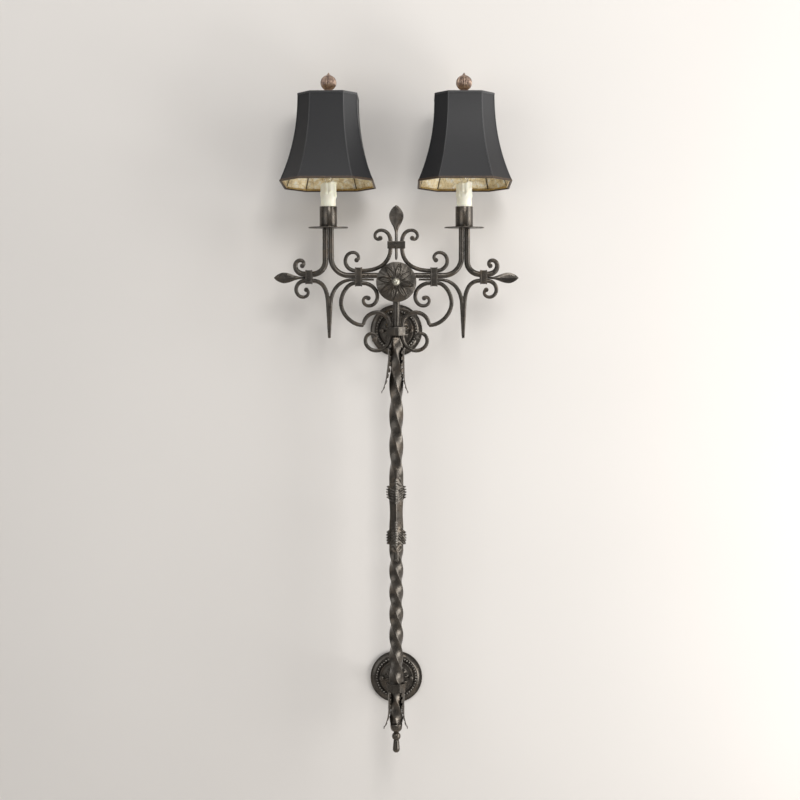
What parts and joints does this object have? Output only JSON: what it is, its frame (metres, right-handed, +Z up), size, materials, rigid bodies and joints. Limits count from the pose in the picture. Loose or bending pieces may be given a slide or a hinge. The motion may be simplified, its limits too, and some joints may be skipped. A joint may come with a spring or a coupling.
{
  "type": "wall sconce",
  "caption": "Tall forged wall sconce: a twisted iron torch on round wall plates, with scrolled arms, a rosette and candle lights under black shades lined in gold.",
  "frame": {"origin": "centre of the upper mounting disc's back face, on the wall", "axes": "+X to the right as seen from the room, +Y into the wall, +Z up"},
  "size_m": [0.4574, 0.2009, 1.2766],
  "materials": {
    "forged_iron": "hammered, dark bronze-black with rubbed edges",
    "plated_steel": "plain zinc plate",
    "pewter_button": "pale satin",
    "lead_sheath": "matte",
    "ivory_sleeve": "waxed ivory",
    "socket_brass": "satin",
    "bulb_glass": "frosted",
    "brass_wire": "satin",
    "black_satin": "satin cloth over board",
    "gold_leaf_lining": "gold foil laid by hand",
    "copper_finial": "antiqued copper brown"
  },
  "bodies": {
    "sconce": {"upper_mount_disc": "plated_steel", "lower_mount_disc": "plated_steel", "upper_wall_plate": "forged_iron", "lower_wall_plate": "forged_iron", "plate_ball_nuts": "forged_iron", "upper_stem": "forged_iron", "lower_stem": "forged_iron", "stem_nuts": "plated_steel", "shaft": "forged_iron", "upper_cast_leaves": "forged_iron", "lower_cast_leaves": "forged_iron", "upper_side_leaves": "forged_iron", "lower_side_leaves": "forged_iron", "upper_strap": "forged_iron", "lower_strap": "forged_iron", "foot_cap": "forged_iron", "drop_finial": "forged_iron", "riser": "forged_iron", "hub": "forged_iron", "rosette": "forged_iron", "rosette_button": "pewter_button", "left_arm": "forged_iron", "right_arm": "forged_iron", "left_outer_scroll": "forged_iron", "right_outer_scroll": "forged_iron", "left_spike": "forged_iron", "right_spike": "forged_iron", "left_crown_scroll": "forged_iron", "right_crown_scroll": "forged_iron", "left_lower_scroll": "forged_iron", "right_lower_scroll": "forged_iron", "left_brace_scroll": "forged_iron", "right_brace_scroll": "forged_iron", "end_leaves": "forged_iron", "crown_spear": "forged_iron", "crown_collar": "forged_iron", "arm_collars": "forged_iron", "end_collars": "forged_iron", "lamp_leads": "lead_sheath", "left_drip_pan": "forged_iron", "right_drip_pan": "forged_iron", "left_candle_cup": "forged_iron", "right_candle_cup": "forged_iron", "left_candle_sleeve": "ivory_sleeve", "right_candle_sleeve": "ivory_sleeve", "lamp_sockets": "socket_brass"},
    "left_lamp": {"left_bulb": "bulb_glass"},
    "left_clip": {"left_bulb_clip": "brass_wire"},
    "left_shade": {"left_shade_cover": "black_satin", "left_shade_lining": "gold_leaf_lining", "left_shade_frame": "brass_wire"},
    "left_knob": {"left_finial": "copper_finial"},
    "right_lamp": {"right_bulb": "bulb_glass"},
    "right_clip": {"right_bulb_clip": "brass_wire"},
    "right_shade": {"right_shade_cover": "black_satin", "right_shade_lining": "gold_leaf_lining", "right_shade_frame": "brass_wire"},
    "right_knob": {"right_finial": "copper_finial"}
  },
  "joints": [
    {"name": "left_bulb_turn", "type": "hinge", "parent": "sconce", "child": "left_lamp", "pos_m": [-0.1268, -0.11, 0.26], "axis": [0, 0, 1], "continuous": true},
    {"name": "left_clip_tilt", "type": "hinge", "parent": "left_lamp", "child": "left_clip", "pos_m": [-0.1268, -0.11, 0.3122], "axis": [1, 0, 0], "range_deg": [-1.8, 8.2]},
    {"name": "left_shade_turn", "type": "hinge", "parent": "left_clip", "child": "left_shade", "pos_m": [-0.1268, -0.11, 0.3122], "axis": [0, 0.0906, 0.9959], "continuous": true},
    {"name": "left_finial_turn", "type": "hinge", "parent": "left_clip", "child": "left_knob", "pos_m": [-0.1268, -0.11, 0.3122], "axis": [0, 0.0906, 0.9959], "continuous": true},
    {"name": "right_bulb_turn", "type": "hinge", "parent": "sconce", "child": "right_lamp", "pos_m": [0.1268, -0.11, 0.26], "axis": [0, 0, 1], "continuous": true},
    {"name": "right_clip_tilt", "type": "hinge", "parent": "right_lamp", "child": "right_clip", "pos_m": [0.1268, -0.11, 0.3122], "axis": [1, 0, 0], "range_deg": [-1.8, 8.2]},
    {"name": "right_shade_turn", "type": "hinge", "parent": "right_clip", "child": "right_shade", "pos_m": [0.1268, -0.11, 0.3122], "axis": [0, 0.0906, 0.9959], "continuous": true},
    {"name": "right_finial_turn", "type": "hinge", "parent": "right_clip", "child": "right_knob", "pos_m": [0.1268, -0.11, 0.3122], "axis": [0, 0.0906, 0.9959], "continuous": true}
  ]
}
